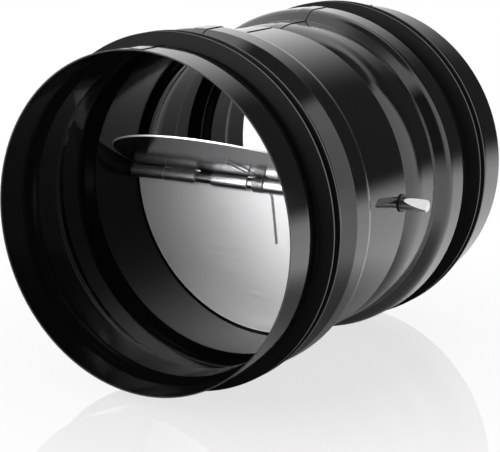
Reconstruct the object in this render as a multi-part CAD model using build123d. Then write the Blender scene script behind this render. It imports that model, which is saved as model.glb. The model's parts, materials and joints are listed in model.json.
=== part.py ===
"""Round spring-return backdraft damper for a 200 mm duct.

Frame: origin at the centre of the outlet rim, +Y along the duct towards the inlet,
+X along the flap hinge, +Z up.  All sizes are in millimetres.
"""
import os
from math import acos, atan2, cos, degrees, hypot, pi, radians, sin, sqrt, tan
from build123d import *

# Duct and sheet
duct_diameter = 200.0          # bore of the duct that slides over each spigot
spigot_clearance = 0.4         # radial play between spigot and duct
sheet = 0.8                    # casing sheet thickness
casing_length = 268.0          # rim to rim

# Casing profile, measured along Y from either rim
groove_start = 24.0            # rim to the gasket channel
groove_width = 26.5
groove_depth = 3.8
groove_lead = 5.6              # run of the channel's side towards the rim
groove_flank = 2.2             # run of its side towards the bead
bead_gap = 4.5                 # gasket channel to the foot of the stop bead
bead_height = 4.6              # crest above the spigot
bead_ramp = 10.0               # run of the slope up to the crest
crest_width = 17.3
neck_drop = 1.8                # the middle of the casing is this much slimmer than the spigots
neck_ramp = 7.7                # run of the slope from the crest down to the middle
edge_radius = 1.2              # small rolled corners
lead_radius = 16.0             # soft turn from the spigot into the channel
shoulder_radius = 10.0         # rounded side of the crest towards the middle

# Flap seat, a ring rolled inwards behind the closed flaps
seat_depth = 4.0
seat_floor = 5.0
seat_slope = 8.6               # run of the rise back to the casing's middle
seat_gap = 0.35                # closed flap to seat
seat_rise_radius = 40.0        # soft end of that rise

# Lap seam along the top
seam_width = 8.0
seam_step = 0.45
seam_setback = 1.0             # seam end to the gasket channel

# Gaskets
gasket_play = 0.05
gasket_base_width = 16.6
gasket_base_thickness = 1.5
lip_interference = 5.6         # relaxed lip tip beyond the duct's bore, radially
lip_root_thickness = 2.2
lip_tip_thickness = 0.9
lip_lean = 2.4                 # tip ahead of root, along +Y
lip_first = 3.1                # base edge to the middle of the first lip's root
lip_pitch = 7.0

# Hinge
hinge_setback = 2.0            # hinge line ahead of the casing's middle, towards the outlet
axle_diameter = 7.5
axle_reach_right = 16.9        # beyond the casing
axle_reach_left = 3.0
axle_cut_gap = 1.9             # bush collar to the oblique flat on the right end
axle_cut_rise = 1.0            # flat above the axle's centre at the tip
axle_cut_turn = 45.0           # flat turned about the axle, from up towards the outlet
axle_chamfer = 0.5
bush_wall = 0.7
bush_play = 0.05
bush_collar_width = 0.9        # collar beyond the sleeve, radially
bush_collar_thickness = 0.8
bush_inner_reach = 0.4         # sleeve end inside the casing wall

# Flaps
flap_sheet = 1.0
flap_edge_gap = 1.2            # flap rim to the casing bore
hinge_play = 0.08              # knuckle bore around the axle, radially
knuckle_length = 23.4          # outer and middle knuckles
inner_knuckle_length = 26.0
knuckle_gap = 0.7              # between neighbouring knuckles
knuckle_end_gap = 2.0          # outer knuckle to the casing bore
curl_angle = 300.0             # how far the sheet is rolled round the axle
flap_root_gap = 0.7            # straight edge clear of the other flap's knuckles
upper_open_angle = 66.0        # upper flap as it stands, from closed

# Torsion spring
wire_diameter = 1.0
coil_turns = 7                 # whole turns, before the arc between the two legs
coil_pitch = 1.12
coil_play = 0.3                # coil bore around the axle, radially
coil_centre_x = -0.9
coil_side_gap_left = 3.2       # room for the leg that leaves on the left
coil_side_gap_right = 0.5
leg_stand_off = 0.5            # wire surface to the flap face
leg_toe_gap = 0.1              # bent toe to the flap face
upper_leg_length = 45.5
lower_leg_length = 36.0
upper_leg_shift = 5.5          # sideways set of the leg, just off the coil
lower_leg_shift = 2.4
upper_leg_set = 10.0           # where that set ends, measured from the hinge line
lower_leg_set = 8.0
upper_leg_splay = 0.0          # sideways drift over the straight run
lower_leg_splay = 3.2
leg_lift = 4.3                 # where the leg has come off the coil to the flap
leg_bend = 1.5
toe_bend = 0.6

# Worked-out sizes
spigot_radius = duct_diameter / 2 - spigot_clearance
crest_radius = spigot_radius + bead_height
body_radius = spigot_radius - neck_drop
body_bore = body_radius - sheet
channel_radius = spigot_radius - groove_depth
lip_radius = duct_diameter / 2 + lip_interference
groove_end = groove_start + groove_width
crest_start = groove_end + bead_gap + bead_ramp
crest_end = crest_start + crest_width
hinge_station = casing_length / 2 - hinge_setback
axle_radius = axle_diameter / 2
knuckle_bore = axle_radius + hinge_play
knuckle_radius = knuckle_bore + flap_sheet
flap_radius = body_bore - flap_edge_gap
seat_station = hinge_station + knuckle_radius + seat_gap + sheet
wire_radius = wire_diameter / 2
coil_radius = axle_radius + coil_play + wire_radius
leg_offset = knuckle_bore - leg_stand_off - wire_radius
leg_reach = hypot(leg_offset, leg_lift)
leg_run_off = sqrt(leg_reach ** 2 - coil_radius ** 2)
leg_angle = degrees(atan2(leg_lift, leg_offset) - acos(coil_radius / leg_reach))
turns = coil_turns + (upper_open_angle + 2 * leg_angle) / 360
coil_start = coil_centre_x - turns * coil_pitch / 2
coil_end = coil_centre_x + turns * coil_pitch / 2


def end_corners():
    """Outer corners (radius, distance from the rim) and corner radii of one end of the casing."""
    corners = [
        (spigot_radius, 0.0),
        (spigot_radius, groove_start),
        (channel_radius, groove_start + groove_lead),
        (channel_radius, groove_end - groove_flank),
        (spigot_radius, groove_end),
        (spigot_radius, groove_end + bead_gap),
        (crest_radius, crest_start),
        (crest_radius, crest_end),
        (body_radius, crest_end + neck_ramp),
    ]
    radii = [lead_radius] + [edge_radius] * 5 + [shoulder_radius, edge_radius]
    return corners, radii


def casing_corners():
    """Outer profile of the whole casing from the outlet rim to the inlet rim."""
    corners, radii = end_corners()
    seat = [
        (body_radius, seat_station),
        (body_radius - seat_depth, seat_station),
        (body_radius - seat_depth, seat_station + seat_floor),
        (body_radius, seat_station + seat_floor + seat_slope),
    ]
    seat_radii = [edge_radius] * 3 + [seat_rise_radius]
    inlet = [(r, casing_length - y) for r, y in reversed(corners)]
    return corners + seat + inlet, radii + seat_radii + radii[::-1]


def shifted(corners, radii, distance):
    """Profile moved sideways by distance, outwards when positive, with its corners kept round."""
    new_corners = []
    new_radii = []
    for i, (r, y) in enumerate(corners):
        before = corners[max(i - 1, 0)]
        after = corners[min(i + 1, len(corners) - 1)]
        headings = []
        if i > 0:
            headings.append(atan2(y - before[1], r - before[0]))
        if i < len(corners) - 1:
            headings.append(atan2(after[1] - y, after[0] - r))
        turn = headings[-1] - headings[0]
        middle = (headings[0] + headings[-1]) / 2
        reach = distance / cos(turn / 2)
        new_corners.append((r + reach * sin(middle), y - reach * cos(middle)))
        if 0 < i < len(corners) - 1:
            grow = distance if turn > 0 else -distance
            new_radii.append(radii[i - 1] + grow)
    return new_corners, new_radii


def eased(corners, radii):
    """Corner radii, cut back where two roundings would outrun the side that they share."""
    tangents = [0.0]
    for (r0, y0), (r1, y1), (r2, y2), radius in zip(corners, corners[1:], corners[2:], radii):
        turn = atan2(y2 - y1, r2 - r1) - atan2(y1 - y0, r1 - r0)
        tangents.append(radius * tan(abs(turn) / 2))
    tangents.append(0.0)
    shares = []
    for (r0, y0), (r1, y1), before, after in zip(corners, corners[1:], tangents, tangents[1:]):
        side = hypot(r1 - r0, y1 - y0)
        shares.append(min(1.0, 0.98 * side / (before + after)))
    return [radius * min(before, after) for radius, before, after in zip(radii, shares, shares[1:])]


def profile_band(inner, outer):
    """Closed face between the casing profile shifted by inner and by outer."""
    corners, radii = casing_corners()
    near = shifted(corners, radii, inner)
    far = shifted(corners, radii, outer)
    near_line = FilletPolyline(*near[0], radius=eased(*near))
    far_line = FilletPolyline(*far[0], radius=eased(*far))
    rims = [Line(near_line @ 0, far_line @ 0), Line(near_line @ 1, far_line @ 1)]
    return make_face(Curve() + [near_line, far_line] + rims)


def slab(y_low, y_high, half_width):
    """Block across the duct between two stations, used to trim along Y."""
    block = Box(2 * half_width, y_high - y_low, 2 * half_width)
    return Pos(0, (y_low + y_high) / 2, 0) * block


def hinge_cylinder(radius, x_low, x_high):
    """Cylinder on the hinge line between two X positions."""
    rod = Rot(0, 90, 0) * Cylinder(radius, x_high - x_low)
    return Pos((x_low + x_high) / 2, hinge_station, 0) * rod


def turned(solid, angle):
    """Solid turned about the hinge line, top towards the outlet when positive."""
    return solid.rotate(Axis((0, hinge_station, 0), (1, 0, 0)), angle)


# Casing: one rolled sheet with its channels, stop beads, flap seat, lap seam and axle holes
bush_radius = axle_radius + bush_play + bush_wall
hole_radius = bush_radius + bush_play
casing = revolve(profile_band(-sheet, 0), Axis.Y)
seam_angle = degrees(seam_width / spigot_radius)
seam_root = sheet / 2
seam = revolve(profile_band(-seam_root, seam_step), Axis.Y, seam_angle)
seam = seam.rotate(Axis.Y, -90 - seam_angle / 2)
for side in (0, 1):
    low = groove_start - seam_setback
    high = groove_end + seam_setback
    if side:
        low, high = casing_length - high, casing_length - low
    seam -= slab(low, high, 2 * lip_radius)
casing += seam
hole_reach = crest_radius + seam_step
casing -= hinge_cylinder(hole_radius, -hole_reach, hole_reach)


def gasket(base_start):
    """Double-lip ring seated in a channel, with both lips leaning along +Y."""
    floor = channel_radius + gasket_play
    shelf = floor + gasket_base_thickness
    outline = [(floor, base_start), (shelf, base_start)]
    for lip in (0, 1):
        root = base_start + lip_first + lip * lip_pitch
        outline += [
            (shelf, root - lip_root_thickness / 2),
            (lip_radius, root + lip_lean - lip_tip_thickness / 2),
            (lip_radius, root + lip_lean + lip_tip_thickness / 2),
            (shelf, root + lip_root_thickness / 2),
        ]
    base_end = base_start + gasket_base_width
    outline += [(shelf, base_end), (floor, base_end)]
    return revolve(make_face(Polyline(*outline, close=True)), Axis.Y)


channel_start = groove_start + groove_lead
outlet_gasket = gasket(channel_start + edge_radius)
inlet_gasket = gasket(casing_length - channel_start - edge_radius - gasket_base_width)

# Axle and its two bushes
axle_right = body_radius + axle_reach_right
axle_left = -body_radius - axle_reach_left
axle = chamfer(hinge_cylinder(axle_radius, axle_left, axle_right).edges(), axle_chamfer)
collar_face = body_radius + bush_play + bush_collar_thickness
cut_length = axle_right - collar_face - axle_cut_gap
cut_slope = degrees(atan2(axle_radius - axle_cut_rise, cut_length))
cut_size = 2 * cut_length
cutter = Pos(0, 0, cut_size / 2) * Box(2 * cut_size, cut_size, cut_size)
cutter = Rot(axle_cut_turn, 0, 0) * Pos(0, 0, axle_cut_rise) * Rot(0, cut_slope, 0) * cutter
cutter = Pos(axle_right, hinge_station, 0) * cutter
axle -= cutter


def bush(side):
    """Collared sleeve in the casing wall, side +1 right or -1 left."""
    collar_radius = hole_radius + bush_collar_width
    inside = body_bore - bush_inner_reach
    seat_face = body_radius + bush_play
    outside = seat_face + bush_collar_thickness
    sleeve = hinge_cylinder(bush_radius, inside, outside)
    sleeve += hinge_cylinder(collar_radius, seat_face, outside)
    sleeve -= hinge_cylinder(axle_radius + bush_play, inside, outside)
    return sleeve if side > 0 else mirror(sleeve, Plane.YZ)


right_bush = bush(1)
left_bush = bush(-1)

# Flaps: half discs whose straight edges are curled into knuckles round the axle
knuckle_end = body_bore - knuckle_end_gap
outer_span = (knuckle_end - knuckle_length, knuckle_end)
middle_end = outer_span[0] - knuckle_gap
middle_span = (middle_end - knuckle_length, middle_end)


def mirrored(span):
    """The same stretch of the hinge on the other side of the duct axis."""
    return (-span[1], -span[0])


right_inner_start = coil_end + wire_radius + coil_side_gap_right
left_inner_end = coil_start - wire_radius - coil_side_gap_left
upper_knuckles = [
    mirrored(middle_span),
    (right_inner_start, right_inner_start + inner_knuckle_length),
    outer_span,
]
lower_knuckles = [
    mirrored(outer_span),
    (left_inner_end - inner_knuckle_length, left_inner_end),
    middle_span,
]
flap_root = sqrt((knuckle_radius + flap_root_gap) ** 2 - knuckle_bore ** 2)


def knuckle_outline():
    """Curled strip round the hinge line in the plane across it, ending short of the plate."""
    end = radians(-curl_angle)
    half = radians(-curl_angle / 2)
    arcs = []
    for radius in (knuckle_bore, knuckle_radius):
        points = [(radius * cos(a), radius * sin(a)) for a in (0, half, end)]
        arcs.append(ThreePointArc(*points))
    inner, outer = arcs
    ends = [Line(inner @ 0, outer @ 0), Line(inner @ 1, outer @ 1)]
    return make_face(Curve() + [inner, outer] + ends)


def flap(knuckles):
    """Closed upper flap, plate on the inlet side of the hinge line, with its knuckles."""
    plate = Circle(flap_radius) & Pos(0, flap_radius) * Rectangle(2 * flap_radius, 2 * flap_radius)
    plate -= Pos(0, flap_root / 2) * Rectangle(2 * flap_radius, flap_root)
    for low, high in knuckles:
        plate += Pos((low + high) / 2, flap_root / 2) * Rectangle(high - low, flap_root)
    upright = Plane((0, hinge_station + knuckle_radius, 0), x_dir=(1, 0, 0), z_dir=(0, -1, 0))
    solid = extrude(upright * plate, flap_sheet)
    for low, high in knuckles:
        across = Plane((low, hinge_station, 0), x_dir=(0, 1, 0), z_dir=(1, 0, 0))
        solid += extrude(across * knuckle_outline(), high - low)
    return solid


upper_flap = turned(flap(upper_knuckles), upper_open_angle)
lower_flap = mirror(flap(lower_knuckles), Plane.XY)


def leg_points(root_x, lead, shift, set_end, length, splay):
    """Spring leg on a closed upper flap: tangent off the coil, set sideways, along the plate, bent toe.

    lead is the sideways slope of the coil's wire, carried on along the leg's first run.
    """
    off = radians(leg_angle)
    toe = knuckle_bore - leg_toe_gap - wire_radius
    lift_x = root_x + lead * leg_run_off
    set_x = lift_x + shift
    points = [
        (root_x, coil_radius * cos(off), coil_radius * sin(off)),
        (lift_x, leg_offset, leg_lift),
        (set_x, leg_offset, set_end),
        (set_x + splay, leg_offset, length),
        (set_x + splay, toe, length + wire_diameter),
    ]
    return [(x, hinge_station + y, z) for x, y, z in points]


def swung(points, angle):
    """Points turned about the hinge line, top towards the outlet when positive."""
    c, s = cos(radians(angle)), sin(radians(angle))
    offsets = [(x, y - hinge_station, z) for x, y, z in points]
    return [(x, hinge_station + c * y - s * z, s * y + c * z) for x, y, z in offsets]


# Torsion spring: one wire, a close-wound coil on the axle with one leg on each flap
coil_lead = coil_pitch / (2 * pi * coil_radius)
upper_leg = leg_points(
    coil_start, -coil_lead, upper_leg_shift, upper_leg_set, upper_leg_length, upper_leg_splay
)
upper_leg = swung(upper_leg, upper_open_angle)
lower_leg = leg_points(
    coil_end, coil_lead, lower_leg_shift, lower_leg_set, lower_leg_length, lower_leg_splay
)
lower_leg = [(x, y, -z) for x, y, z in lower_leg]
leg_bends = [leg_bend, leg_bend, toe_bend]
start_angle = radians(upper_open_angle + leg_angle)
start_direction = (0, cos(start_angle), sin(start_angle))
coil_plane = Plane((coil_start, hinge_station, 0), x_dir=start_direction, z_dir=(1, 0, 0))
coil = coil_plane * Helix(coil_pitch, turns * coil_pitch, coil_radius, lefthand=True)
first_run = FilletPolyline(*upper_leg[::-1], radius=leg_bends[::-1])
last_run = FilletPolyline(*lower_leg, radius=leg_bends)
wire_path = Wire(first_run.edges() + [coil] + last_run.edges())
wire_end = Plane(wire_path @ 0, z_dir=wire_path % 0)
torsion_spring = sweep(wire_end * Circle(wire_radius), wire_path)

nodes = {
    "casing": casing,
    "outlet_gasket": outlet_gasket,
    "inlet_gasket": inlet_gasket,
    "axle": axle,
    "right_bush": right_bush,
    "left_bush": left_bush,
    "upper_flap": upper_flap,
    "lower_flap": lower_flap,
    "torsion_spring": torsion_spring,
}
os.makedirs("parts", exist_ok=True)
for name, solid in nodes.items():
    export_step(solid, f"parts/{name}.step")
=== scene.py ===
"""Round backdraft damper: lacquered casing, rubber lip seals, two metal half flaps on a sprung axle."""
import json
from math import acos, atan2, cos, hypot, pi, radians, sin, sqrt

import bpy
import numpy as np
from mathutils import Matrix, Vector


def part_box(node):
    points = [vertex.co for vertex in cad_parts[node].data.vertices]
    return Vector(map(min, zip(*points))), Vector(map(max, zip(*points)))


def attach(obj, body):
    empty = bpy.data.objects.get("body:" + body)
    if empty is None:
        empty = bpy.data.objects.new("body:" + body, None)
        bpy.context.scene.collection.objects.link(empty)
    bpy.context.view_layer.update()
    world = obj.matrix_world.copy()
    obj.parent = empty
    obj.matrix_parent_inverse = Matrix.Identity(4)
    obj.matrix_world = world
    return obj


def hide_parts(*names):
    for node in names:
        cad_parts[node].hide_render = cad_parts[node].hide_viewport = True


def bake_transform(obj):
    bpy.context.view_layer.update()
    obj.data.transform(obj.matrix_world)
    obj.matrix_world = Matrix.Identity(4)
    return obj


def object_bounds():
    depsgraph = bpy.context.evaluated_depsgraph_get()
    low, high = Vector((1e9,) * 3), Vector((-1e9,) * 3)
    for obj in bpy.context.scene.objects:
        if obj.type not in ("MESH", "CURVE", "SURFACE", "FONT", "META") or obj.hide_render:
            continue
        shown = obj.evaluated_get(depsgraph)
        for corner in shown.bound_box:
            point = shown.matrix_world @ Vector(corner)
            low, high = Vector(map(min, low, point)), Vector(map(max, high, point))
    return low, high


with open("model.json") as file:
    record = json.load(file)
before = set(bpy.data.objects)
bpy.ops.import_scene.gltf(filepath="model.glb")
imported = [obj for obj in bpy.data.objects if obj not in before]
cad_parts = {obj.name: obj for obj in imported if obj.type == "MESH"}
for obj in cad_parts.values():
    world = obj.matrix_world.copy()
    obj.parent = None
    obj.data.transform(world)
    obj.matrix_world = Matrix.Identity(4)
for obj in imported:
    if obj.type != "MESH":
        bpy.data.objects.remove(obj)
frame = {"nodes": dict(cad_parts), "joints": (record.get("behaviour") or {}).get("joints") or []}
cad_low, cad_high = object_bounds()


# Casing: one tube of thin sheet steel, rolled up with a lap seam along the top, with gasket
# channels, stop beads and a flap seat rolled into it.  It is sprayed with black lacquer, which
# levels to a faint orange peel, with a painted highlight on the cut rims; outside it has a hard gloss
# coat.
def grain_group():
    """Fine surface grain.

    A coarse and a fine noise of the position are added; the sum is the height, and the same
    sum stretched between a low and a high value is the roughness.
    """
    group = bpy.data.node_groups.new("surface_grain", "ShaderNodeTree")
    sockets = group.interface
    sockets.new_socket("Position", in_out="INPUT", socket_type="NodeSocketVector")
    for name in ("Coarse Scale", "Fine Scale", "Fine Share", "Low", "High"):
        sockets.new_socket(name, in_out="INPUT", socket_type="NodeSocketFloat")
    for name in ("Height", "Value"):
        sockets.new_socket(name, in_out="OUTPUT", socket_type="NodeSocketFloat")
    nodes, link = group.nodes, group.links.new
    given = nodes.new("NodeGroupInput")
    result = nodes.new("NodeGroupOutput")
    coarse = nodes.new("ShaderNodeTexNoise")
    coarse.inputs["Detail"].default_value = 2.0
    fine = nodes.new("ShaderNodeTexNoise")
    fine.inputs["Detail"].default_value = 3.0
    mix = nodes.new("ShaderNodeMix")
    spread = nodes.new("ShaderNodeMapRange")
    spread.inputs["From Min"].default_value = 0.3
    spread.inputs["From Max"].default_value = 0.7
    link(given.outputs["Position"], coarse.inputs["Vector"])
    link(given.outputs["Position"], fine.inputs["Vector"])
    link(given.outputs["Coarse Scale"], coarse.inputs["Scale"])
    link(given.outputs["Fine Scale"], fine.inputs["Scale"])
    link(given.outputs["Fine Share"], mix.inputs["Factor"])
    link(coarse.outputs["Fac"], mix.inputs["A"])
    link(fine.outputs["Fac"], mix.inputs["B"])
    link(mix.outputs["Result"], spread.inputs["Value"])
    link(given.outputs["Low"], spread.inputs["To Min"])
    link(given.outputs["High"], spread.inputs["To Max"])
    link(mix.outputs["Result"], result.inputs["Height"])
    link(spread.outputs["Result"], result.inputs["Value"])
    return group


surface_grain = grain_group()


def finish(name, **sockets):
    """New material with one Principled shader; its even values are set on the shader's sockets."""
    material = bpy.data.materials.new(name)
    material.use_nodes = True
    shader = material.node_tree.nodes["Principled BSDF"]
    for socket, value in sockets.items():
        shader.inputs[socket.replace("_", " ")].default_value = value
    return material, material.node_tree.nodes, material.node_tree.links.new, shader


def grained(material, stretch, coarse, fine, share, rough, bump_height):
    """Puts the surface grain on a material: roughness between two values, and a bump.

    stretch scales the position before the noise, so a small value draws the grain out.
    """
    nodes, link = material.node_tree.nodes, material.node_tree.links.new
    shader = nodes["Principled BSDF"]
    place = nodes.new("ShaderNodeTexCoord")
    scaled = nodes.new("ShaderNodeMapping")
    scaled.inputs["Scale"].default_value = stretch
    grain = nodes.new("ShaderNodeGroup")
    grain.node_tree = surface_grain
    grain.inputs["Coarse Scale"].default_value = coarse
    grain.inputs["Fine Scale"].default_value = fine
    grain.inputs["Fine Share"].default_value = share
    grain.inputs["Low"].default_value = rough[0]
    grain.inputs["High"].default_value = rough[1]
    bump = nodes.new("ShaderNodeBump")
    bump.inputs["Distance"].default_value = bump_height
    link(place.outputs["Object"], scaled.inputs["Vector"])
    link(scaled.outputs["Vector"], grain.inputs["Position"])
    link(grain.outputs["Value"], shader.inputs["Roughness"])
    link(grain.outputs["Height"], bump.inputs["Height"])
    link(bump.outputs["Normal"], shader.inputs["Normal"])
    return place, grain


def dress(node, material):
    """Gives a CAD node its finish."""
    for slot in frame["nodes"][node].material_slots:
        slot.material = material


lacquer_black = (0.003, 0.003, 0.0033, 1.0)
# Paler grey painted on the cut rims as a highlight line.
painted_rim_highlight = (0.03, 0.03, 0.031, 1.0)
rim_highlight_band = 0.0009
wall_facing = 0.012
casing_length = cad_high.y - cad_low.y
lacquer, nodes, link, shader = finish(
    "black_lacquer", IOR=1.15, Coat_IOR=1.75, Coat_Roughness=0.04
)
place, _ = grained(
    lacquer, stretch=(1, 1, 1), coarse=260.0, fine=1400.0, share=0.25,
    rough=(0.10, 0.17), bump_height=0.00002,
)
# The painted rim highlight's mask grows with the distance from the casing's middle, along the duct.
split = nodes.new("ShaderNodeSeparateXYZ")
from_middle = nodes.new("ShaderNodeMath")
from_middle.operation = "SUBTRACT"
from_middle.inputs[1].default_value = casing_length / 2
distance = nodes.new("ShaderNodeMath")
distance.operation = "ABSOLUTE"
rim = nodes.new("ShaderNodeMapRange")
rim.inputs["From Min"].default_value = casing_length / 2 - rim_highlight_band
rim.inputs["From Max"].default_value = casing_length / 2 - rim_highlight_band / 3
highlight_tint = nodes.new("ShaderNodeMix")
highlight_tint.data_type = "RGBA"
highlight_tint.inputs["A"].default_value = lacquer_black
highlight_tint.inputs["B"].default_value = painted_rim_highlight
link(place.outputs["Object"], split.inputs["Vector"])
link(split.outputs["Y"], from_middle.inputs[0])
link(from_middle.outputs["Value"], distance.inputs[0])
link(distance.outputs["Value"], rim.inputs["Value"])
link(rim.outputs["Result"], highlight_tint.inputs["Factor"])
link(highlight_tint.outputs["Result"], shader.inputs["Base Color"])
# The coat lies where the surface faces away from the duct's middle line.
across = nodes.new("ShaderNodeVectorMath")
across.operation = "MULTIPLY"
across.inputs[1].default_value = (1, 0, 1)
facing = nodes.new("ShaderNodeVectorMath")
facing.operation = "DOT_PRODUCT"
outside = nodes.new("ShaderNodeMapRange")
outside.inputs["From Min"].default_value = -wall_facing
outside.inputs["From Max"].default_value = wall_facing
link(place.outputs["Object"], across.inputs[0])
link(across.outputs["Vector"], facing.inputs[0])
link(place.outputs["Normal"], facing.inputs[1])
link(facing.outputs["Value"], outside.inputs["Value"])
link(outside.outputs["Result"], shader.inputs["Coat Weight"])
dress("casing", lacquer)

# Gaskets: one moulded rubber ring in each channel, with two thin lips that lean towards the
# inlet and wipe the duct.  The rubber is matt charcoal, with a fine mould grain, and a paler
# grey is painted along each lip's tip as a highlight line.
rubber_black = (0.003, 0.003, 0.0032, 1.0)
# Paler grey painted along each lip's tip as a highlight line.
lip_tip_highlight = (0.11, 0.11, 0.11, 1.0)
lip_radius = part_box("outlet_gasket")[1].z
tip_highlight_depth = 0.0002
rubber, nodes, link, shader = finish("seal_rubber", Specular_IOR_Level=0.1)
place, _ = grained(
    rubber, stretch=(1, 1, 1), coarse=900.0, fine=5200.0, share=0.5,
    rough=(0.48, 0.66), bump_height=0.00003,
)
# The painted tip highlight's mask grows with the distance from the duct's middle line.
across = nodes.new("ShaderNodeVectorMath")
across.operation = "MULTIPLY"
across.inputs[1].default_value = (1, 0, 1)
reach = nodes.new("ShaderNodeVectorMath")
reach.operation = "LENGTH"
tip_highlight = nodes.new("ShaderNodeMapRange")
tip_highlight.inputs["From Min"].default_value = lip_radius - tip_highlight_depth
tip_highlight.inputs["From Max"].default_value = lip_radius - tip_highlight_depth / 2
highlight_tint = nodes.new("ShaderNodeMix")
highlight_tint.data_type = "RGBA"
highlight_tint.inputs["A"].default_value = rubber_black
highlight_tint.inputs["B"].default_value = lip_tip_highlight
link(place.outputs["Object"], across.inputs[0])
link(across.outputs["Vector"], reach.inputs[0])
link(reach.outputs["Value"], tip_highlight.inputs["Value"])
link(tip_highlight.outputs["Result"], highlight_tint.inputs["Factor"])
link(highlight_tint.outputs["Result"], shader.inputs["Base Color"])
for ring in ("outlet_gasket", "inlet_gasket"):
    dress(ring, rubber)

# Axle: a drawn steel rod across the duct, turned fine and plated, and held in the two bushes.  An
# oblique flat is milled on the end that stands out of the casing.
zinc_grey = (0.74, 0.74, 0.75, 1.0)
plated = finish("plated_axle", Base_Color=zinc_grey, Metallic=1.0)[0]
grained(
    plated, stretch=(6.0, 1.0, 1.0), coarse=300.0, fine=1600.0, share=0.5,
    rough=(0.14, 0.26), bump_height=0.000012,
)
dress("axle", plated)

# Bushes: two collared sleeves of black plastic, moulded with a fine satin grain.  They are pressed
# into the casing wall from outside and hold the axle.
plastic_black = (0.012, 0.012, 0.013, 1.0)
bush_plastic = finish("bush_plastic", Base_Color=plastic_black)[0]
grained(
    bush_plastic, stretch=(1, 1, 1), coarse=1200.0, fine=4200.0, share=0.4,
    rough=(0.34, 0.46), bump_height=0.00002,
)
for sleeve in ("right_bush", "left_bush"):
    dress(sleeve, bush_plastic)

# Flaps: two half discs of rolled aluminium sheet, whose straight edges are curled into knuckles
# round the axle.  The faces keep a faint grain along the hinge, the lower one matt and the upper
# one dark and smooth; curling burnishes the knuckles, and shearing leaves the round edge rough.
upper_hinge = frame["joints"][0]
hinge_y = upper_hinge["pos_m"][1]
knuckle_reach = 0.0052
knuckle_fade = 0.0004
edge_start = 0.0003
edge_full = 0.0001
burnished = 0.26
sheared = 0.5
bare_metal = (0.88, 0.88, 0.89, 1.0)
dark_metal = (0.46, 0.46, 0.47, 1.0)
leaf_finish = {
    "upper_flap": {
        "rough": (0.10, 0.16), "socket": "Base Color", "kind": "RGBA",
        "face": dark_metal, "worked": bare_metal,
    },
    "lower_flap": {
        "rough": (0.31, 0.38), "socket": "Metallic", "kind": "FLOAT",
        "face": 0.6, "worked": 1.0,
    },
}
for leaf, look in leaf_finish.items():
    flap_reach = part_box(leaf)[1].x
    mill_sheet, nodes, link, shader = finish(
        leaf + "_sheet", Base_Color=bare_metal, Metallic=1.0
    )
    place, grain = grained(
        mill_sheet, stretch=(0.03, 1.0, 1.0), coarse=700.0, fine=2600.0, share=0.5,
        rough=look["rough"], bump_height=0.000002,
    )
    # A knuckle lies near the hinge's line, and the round edge far from its middle.  The plain face
    # is what both masks spare.
    from_hinge = nodes.new("ShaderNodeVectorMath")
    from_hinge.operation = "SUBTRACT"
    from_hinge.inputs[1].default_value = (0, hinge_y, 0)
    across = nodes.new("ShaderNodeVectorMath")
    across.operation = "MULTIPLY"
    across.inputs[1].default_value = (0, 1, 1)
    plain = nodes.new("ShaderNodeMath")
    plain.operation = "MULTIPLY"
    link(place.outputs["Object"], from_hinge.inputs[0])
    link(from_hinge.outputs["Vector"], across.inputs[0])
    roughness = grain.outputs["Value"]
    zones = [
        (across, knuckle_reach + knuckle_fade, knuckle_reach, burnished),
        (from_hinge, flap_reach - edge_start, flap_reach - edge_full, sheared),
    ]
    for zone, (arm, zone_start, zone_full, zone_rough) in enumerate(zones):
        reach = nodes.new("ShaderNodeVectorMath")
        reach.operation = "LENGTH"
        spared = nodes.new("ShaderNodeMapRange")
        spared.inputs["From Min"].default_value = zone_start
        spared.inputs["From Max"].default_value = zone_full
        spared.inputs["To Min"].default_value = 1.0
        spared.inputs["To Max"].default_value = 0.0
        mix = nodes.new("ShaderNodeMix")
        mix.inputs["A"].default_value = zone_rough
        link(arm.outputs["Vector"], reach.inputs[0])
        link(reach.outputs["Value"], spared.inputs["Value"])
        link(spared.outputs["Result"], mix.inputs["Factor"])
        link(spared.outputs["Result"], plain.inputs[zone])
        link(roughness, mix.inputs["B"])
        roughness = mix.outputs["Result"]
    face = nodes.new("ShaderNodeMix")
    face.data_type = look["kind"]
    face.inputs["A"].default_value = look["worked"]
    face.inputs["B"].default_value = look["face"]
    link(plain.outputs["Value"], face.inputs["Factor"])
    link(face.outputs["Result"], shader.inputs[look["socket"]])
    link(roughness, shader.inputs["Roughness"])
    dress(leaf, mill_sheet)

# Torsion spring: one stainless wire, wound in a close coil on the axle, with a leg on each flap
# that pushes it shut.  Each leg goes with its flap.
wire_radius = 0.0005
coil_radius = 0.00455
coil_pitch = 0.00112
coil_centre_x = -0.0009
whole_turns = 7
open_angle = -radians(upper_hinge["range_deg"][0])
leg_offset = 0.00283
leg_lift = 0.0043
leg_reach = hypot(leg_offset, leg_lift)
leg_angle = atan2(leg_lift, leg_offset) - acos(coil_radius / leg_reach)
leg_run_off = sqrt(leg_reach ** 2 - coil_radius ** 2)
coil_sweep = 2 * pi * whole_turns + open_angle + 2 * leg_angle
coil_half = coil_sweep / (2 * pi) * coil_pitch / 2
wire_sides = 14
coil_steps = 180
leg_bends = (0.0015, 0.0015, 0.0006)
bend_steps = 9
toe_depth = 0.0004


def coil_line(first, last, steps):
    """Left-hand helix on the hinge line: X grows evenly with the share of the sweep, and the angle
    falls evenly with it."""
    share = np.linspace(first, last, steps)
    angle = open_angle + leg_angle - share * coil_sweep
    x = coil_centre_x + (2 * share - 1) * coil_half
    return np.stack([x, hinge_y + coil_radius * np.cos(angle), coil_radius * np.sin(angle)], 1)


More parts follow.
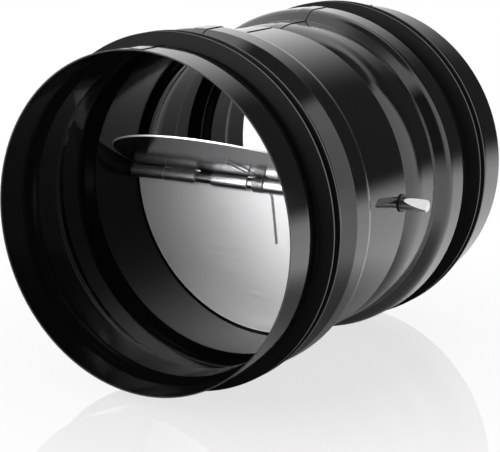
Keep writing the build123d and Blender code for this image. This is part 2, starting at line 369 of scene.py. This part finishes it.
def bent_line(corners, bends, steps):
    """Polyline whose inner corners are eased: each is a quadratic curve between two points set
    back from the corner by the bend's tangent length."""
    corners = np.array(corners)
    runs = np.diff(corners, axis=0)
    headings = runs / np.linalg.norm(runs, axis=1)[:, None]
    half_turns = np.arccos(np.clip((headings[:-1] * headings[1:]).sum(1), -1, 1)) / 2
    setback = (np.array(bends) * np.tan(half_turns))[:, None]
    before = corners[1:-1] - headings[:-1] * setback
    after = corners[1:-1] + headings[1:] * setback
    t = np.linspace(0, 1, steps)[None, :, None]
    pull = 2 * t * (1 - t) * corners[1:-1, None]
    eased = (1 - t) ** 2 * before[:, None] + pull + t ** 2 * after[:, None]
    return np.concatenate([corners[:1], eased.reshape(-1, 3), corners[-1:]])


def leg_line(root_x, lead, shift, set_end, length, splay):
    """Leg of a closed upper flap, as an eased polyline: off the coil along its tangent, set
    sideways, straight along the plate, and its toe bent in."""
    lift_x = root_x + lead * leg_run_off
    end_x = lift_x + shift + splay
    corners = [
        (root_x, coil_radius * cos(leg_angle), coil_radius * sin(leg_angle)),
        (lift_x, leg_offset, leg_lift),
        (lift_x + shift, leg_offset, set_end),
        (end_x, leg_offset, length),
        (end_x, leg_offset + toe_depth, length + 2 * wire_radius),
    ]
    return bent_line(corners, leg_bends, bend_steps)


def wire(name, line):
    """Round wire: a circle across the line, its two axes square to the tangent and nearest to X.

    Each end is closed by a fan to a point on the line.
    """
    tangent = np.gradient(line, axis=0)
    tangent /= np.linalg.norm(tangent, axis=1)[:, None]
    side = np.array([1.0, 0, 0]) - tangent[:, :1] * tangent
    side /= np.linalg.norm(side, axis=1)[:, None]
    rise = np.cross(tangent, side)
    around = np.linspace(0, 2 * pi, wire_sides, endpoint=False)[None, :, None]
    spokes = np.cos(around) * side[:, None] + np.sin(around) * rise[:, None]
    rings = line[:, None] + wire_radius * spokes
    points = np.concatenate([rings.reshape(-1, 3), line[:1], line[-1:]])
    count = len(line)
    ring = np.arange(count - 1)[:, None] * wire_sides
    here = np.arange(wire_sides)[None, :]
    there = (here + 1) % wire_sides
    onward = ring + wire_sides
    walls = np.stack([ring + here, ring + there, onward + there, onward + here], -1)
    last = (count - 1) * wire_sides
    first_point = np.full(wire_sides, count * wire_sides)
    first_cap = np.stack([there[0], here[0], first_point], -1)
    last_cap = np.stack([last + here[0], last + there[0], first_point + 1], -1)
    faces = walls.reshape(-1, 4).tolist() + first_cap.tolist() + last_cap.tolist()
    mesh = bpy.data.meshes.new(name)
    mesh.from_pydata(points.tolist(), [], faces)
    mesh.polygons.foreach_set("use_smooth", np.ones(len(mesh.polygons), bool))
    piece = bpy.data.objects.new(name, mesh)
    bpy.context.scene.collection.objects.link(piece)
    return piece


coil_lead = coil_pitch / (2 * pi * coil_radius)
coil_left_x = coil_centre_x - coil_half
coil_right_x = coil_centre_x + coil_half
upper_leg = leg_line(
    coil_left_x, -coil_lead, shift=0.0055, set_end=0.0100, length=0.0455, splay=0.0
)
open_cos, open_sin = cos(open_angle), sin(open_angle)
opened = np.array([[1, 0, 0], [0, open_cos, open_sin], [0, -open_sin, open_cos]])
upper_leg = upper_leg @ opened + (0, hinge_y, 0)
lower_leg = leg_line(
    coil_right_x, coil_lead, shift=0.0024, set_end=0.0080, length=0.0360, splay=0.0032
)
lower_leg = lower_leg * (1, 1, -1) + (0, hinge_y, 0)
spring_pieces = {
    "spring_upper_leg": upper_leg,
    "spring_coil_left": coil_line(0.0, 0.5, coil_steps),
    "spring_coil_right": coil_line(0.5, 1.0, coil_steps),
    "spring_lower_leg": lower_leg,
}
stainless_grey = (0.62, 0.61, 0.60, 1.0)
spring_wire = finish("spring_wire", Base_Color=stainless_grey, Metallic=1.0)[0]
grained(
    spring_wire, stretch=(1, 1, 1), coarse=1500.0, fine=6000.0, share=0.5,
    rough=(0.20, 0.32), bump_height=0.000006,
)
spring = {name: wire(name, line) for name, line in spring_pieces.items()}
for piece in spring.values():
    piece.data.materials.append(spring_wire)
    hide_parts("torsion_spring")
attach(spring["spring_upper_leg"], "upper_flap")
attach(spring["spring_lower_leg"], "lower_flap")
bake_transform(spring["spring_coil_left"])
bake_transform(spring["spring_coil_right"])

# Floor: a plain white studio table with a slight polish.  The camera sees it nearly evenly white,
# with the object's faint mirror image and shadow; gloss sees it as it is lit.
floor_reach = 4.0
floor_gap = 0.0001
floor_z = cad_low.z - floor_gap
floor_evenness = 0.94
floor_polish = 0.22
polish_near = 0.10
polish_far = 0.34
floor_white = (0.95, 0.95, 0.95, 1.0)
floor_mesh = bpy.data.meshes.new("floor")
floor_corners = [(-1, -1), (1, -1), (1, 1), (-1, 1)]
floor_points = [(x * floor_reach, y * floor_reach, floor_z) for x, y in floor_corners]
floor_mesh.from_pydata(floor_points, [], [(0, 1, 2, 3)])
floor = bpy.data.objects.new("floor", floor_mesh)
bpy.context.scene.collection.objects.link(floor)
table_white, nodes, link, shader = finish(
    "table_white", Base_Color=floor_white, Roughness=1.0, Specular_IOR_Level=0.0
)
# Only the camera gets the even light and the polish, which fades with the distance.
path = nodes.new("ShaderNodeLightPath")
even = nodes.new("ShaderNodeEmission")
polish = nodes.new("ShaderNodeBsdfGlossy")
polish.inputs["Roughness"].default_value = 0.0
place = nodes.new("ShaderNodeTexCoord")
away = nodes.new("ShaderNodeVectorMath")
away.operation = "DISTANCE"
away.inputs[1].default_value = (0, casing_length / 2, floor_z)
fade = nodes.new("ShaderNodeMapRange")
fade.inputs["From Min"].default_value = polish_near
fade.inputs["From Max"].default_value = polish_far
fade.inputs["To Min"].default_value = floor_polish
fade.inputs["To Max"].default_value = 0.0
share = nodes.new("ShaderNodeMath")
share.operation = "MULTIPLY"
share.inputs[1].default_value = floor_evenness
shine = nodes.new("ShaderNodeMath")
shine.operation = "MULTIPLY"
blend = nodes.new("ShaderNodeMixShader")
polished = nodes.new("ShaderNodeMixShader")
link(path.outputs["Is Camera Ray"], share.inputs[0])
link(path.outputs["Is Camera Ray"], shine.inputs[0])
link(place.outputs["Object"], away.inputs[0])
link(away.outputs["Value"], fade.inputs["Value"])
link(fade.outputs["Result"], shine.inputs[1])
link(share.outputs["Value"], blend.inputs["Fac"])
link(shader.outputs["BSDF"], blend.inputs[1])
link(even.outputs["Emission"], blend.inputs[2])
link(shine.outputs["Value"], polished.inputs["Fac"])
link(blend.outputs["Shader"], polished.inputs[1])
link(polish.outputs["BSDF"], polished.inputs[2])
link(polished.outputs["Shader"], nodes["Material Output"].inputs["Surface"])
floor_mesh.materials.append(table_white)

# Studio: an even white room, with a large soft lamp overhead and another in front of the flaps.
# The room isn't sampled as a lamp, so that reflections meet the dark cloths below.
world = bpy.data.worlds.new("studio")
bpy.context.scene.world = world
world.cycles.sampling_method = "NONE"
world.use_nodes = True
background = world.node_tree.nodes["Background"]
background.inputs["Color"].default_value = (1, 1, 1, 1)
background.inputs["Strength"].default_value = 1.0


def softbox(name, place, target, size, power):
    """Rectangular lamp at a place, turned to face a target."""
    lamp = bpy.data.lights.new(name, "AREA")
    lamp.shape = "RECTANGLE"
    lamp.size, lamp.size_y = size
    lamp.energy = power
    holder = bpy.data.objects.new(name, lamp)
    holder.location = place
    aim = np.array(target) - np.array(place)
    holder.rotation_euler = (
        atan2(hypot(aim[0], aim[1]), -aim[2]), 0, atan2(aim[1], aim[0]) - pi / 2
    )
    bpy.context.scene.collection.objects.link(holder)
    return holder


top_box = softbox(
    "top_softbox", place=(0.0, -0.1, 1.6), target=(0, 0.1, 0), size=(1.3, 1.3), power=8.0
)
top_box.visible_glossy = False
flap_box = softbox(
    "flap_softbox", place=(-0.42, -1.14, 0.42), target=(0, 0.1, 0), size=(1.5, 1.05), power=38.0
)
flap_box.visible_diffuse = False

# Dark cloths round the table, over it and on it, matt black with soft edges.  Only reflections see
# them, so that the gloss black stays black; the mirror in the floor looks through them.
cloth_black = (0.003, 0.003, 0.003, 1.0)
cloth_columns = 49
curtain_rows = 41
canopy_rings = 17
inner_ring = 0.001
hem = 0.001


def hang(name, points, cover):
    """Sheet of cloth from a grid of points; an attribute holds its cover, from clear to dark."""
    rows, columns = cover.shape
    index = np.arange(rows * columns).reshape(rows, columns)
    faces = np.stack([index[:-1, :-1], index[1:, :-1], index[1:, 1:], index[:-1, 1:]], -1)
    mesh = bpy.data.meshes.new(name)
    mesh.from_pydata(points.reshape(-1, 3).tolist(), [], faces.reshape(-1, 4).tolist())
    held = mesh.attributes.new("cover", "FLOAT", "POINT")
    held.data.foreach_set("value", cover.ravel().astype(np.float32))
    cloth, nodes, link, shader = finish(
        name, Base_Color=cloth_black, Roughness=1.0, Specular_IOR_Level=0.0
    )
    mask = nodes.new("ShaderNodeAttribute")
    mask.attribute_name = "cover"
    path = nodes.new("ShaderNodeLightPath")
    soft = nodes.new("ShaderNodeMath")
    soft.operation = "SUBTRACT"
    soft.use_clamp = True
    link(mask.outputs["Fac"], soft.inputs[0])
    link(path.outputs["Is Singular Ray"], soft.inputs[1])
    link(soft.outputs["Value"], shader.inputs["Alpha"])
    mesh.materials.append(cloth)
    sheet = bpy.data.objects.new(name, mesh)
    bpy.context.scene.collection.objects.link(sheet)
    sheet.visible_camera = sheet.visible_diffuse = False
    sheet.visible_transmission = sheet.visible_shadow = False


def curtain(name, turns, low, high, soft_turns, soft_high, soft_low, density):
    """Sector of a surface of revolution about the casing's middle: a straight line from a low to
    a high (radius, height), carried from one compass turn to another.

    The turn is measured from +Y towards +X.  The cover rises from nothing at each side and at the
    low end, and falls to nothing at the high end, over soft edges.
    """
    turn = np.radians(np.linspace(*turns, cloth_columns))[:, None]
    rise = np.linspace(0, 1, curtain_rows)[None, :]
    cover = np.clip((turn - turn[0]) / radians(soft_turns[0]), 0, 1)
    cover = cover * np.clip((turn[-1] - turn) / radians(soft_turns[1]), 0, 1)
    cover = cover * np.clip((1 - rise) / soft_high, 0, 1) * np.clip((rise + hem) / soft_low, 0, 1)
    radius = low[0] + (high[0] - low[0]) * rise
    z = low[1] + (high[1] - low[1]) * rise + 0 * turn
    points = np.stack([radius * np.sin(turn), casing_length / 2 + radius * np.cos(turn), z], -1)
    hang(name, points, density * cover * cover * (3 - 2 * cover))


def canopy(name, middle, radius, soft_rim, density):
    """Level disc over or on the table: each point is the middle plus a share of the radius at a
    turn.  Its cover falls to nothing at the rim."""
    ring = np.linspace(inner_ring, 1, canopy_rings)[:, None]
    spoke = np.linspace(0, 2 * pi, cloth_columns)[None, :]
    cover = np.clip((1 - ring) / soft_rim, 0, 1) + 0 * spoke
    x = middle[0] + radius * ring * np.sin(spoke)
    y = middle[1] + radius * ring * np.cos(spoke)
    points = np.stack([x, y, middle[2] + 0 * x], -1)
    hang(name, points, density * cover * cover * (3 - 2 * cover))


curtain(
    "back_right_curtain", turns=(-30, 52), low=(0.72, floor_z), high=(0.72, 0.95),
    soft_turns=(48, 8), soft_high=0.3, soft_low=0.12, density=0.95,
)
curtain(
    "front_curtain", turns=(80, 250), low=(1.4, floor_z), high=(1.4, 1.6),
    soft_turns=(12, 12), soft_high=0.3, soft_low=0.2, density=0.95,
)
curtain(
    "near_curtain", turns=(118, 176), low=(0.42, floor_z), high=(0.42, 0.8),
    soft_turns=(12, 10), soft_high=0.3, soft_low=0.08, density=0.97,
)
floor_cloth_z = floor_z + 0.0005
curtain(
    "floor_cloth", turns=(125, 185), low=(0.14, floor_cloth_z), high=(0.8, floor_cloth_z),
    soft_turns=(20, 16), soft_high=0.2, soft_low=hem, density=0.9,
)
canopy("top_canopy", middle=(0.33, 0.42, 1.1), radius=0.62, soft_rim=0.4, density=0.9)
# This dark disc on the floor, on the right of the casing's near half, is painted shade: it stands in
# for the casing's shadow and dark mirror image there, as reflections see the floor.
floor_shade_z = floor_z + 0.0004
canopy(
    "floor_shade_cloth", middle=(0.13, 0.12, floor_shade_z), radius=0.15, soft_rim=0.9, density=0.75
)

# Camera: a long lens, at the place and with the tilt and turn that a pinhole fit to the rims, lips
# and beads of the photograph gave.
camera_place = (0.56017, -0.78237, 0.22516)
camera_tilt = 13.186
camera_turn = 31.870
camera_data = bpy.data.cameras.new("camera")
camera_data.sensor_width = 36.0
camera_data.sensor_fit = "HORIZONTAL"
camera_data.lens = 126.78
camera = bpy.data.objects.new("camera", camera_data)
camera.location = camera_place
camera.rotation_euler = (radians(90 - camera_tilt), 0, radians(camera_turn))
bpy.context.scene.collection.objects.link(camera)
bpy.context.scene.camera = camera
bpy.context.scene.view_settings.view_transform = "Standard"
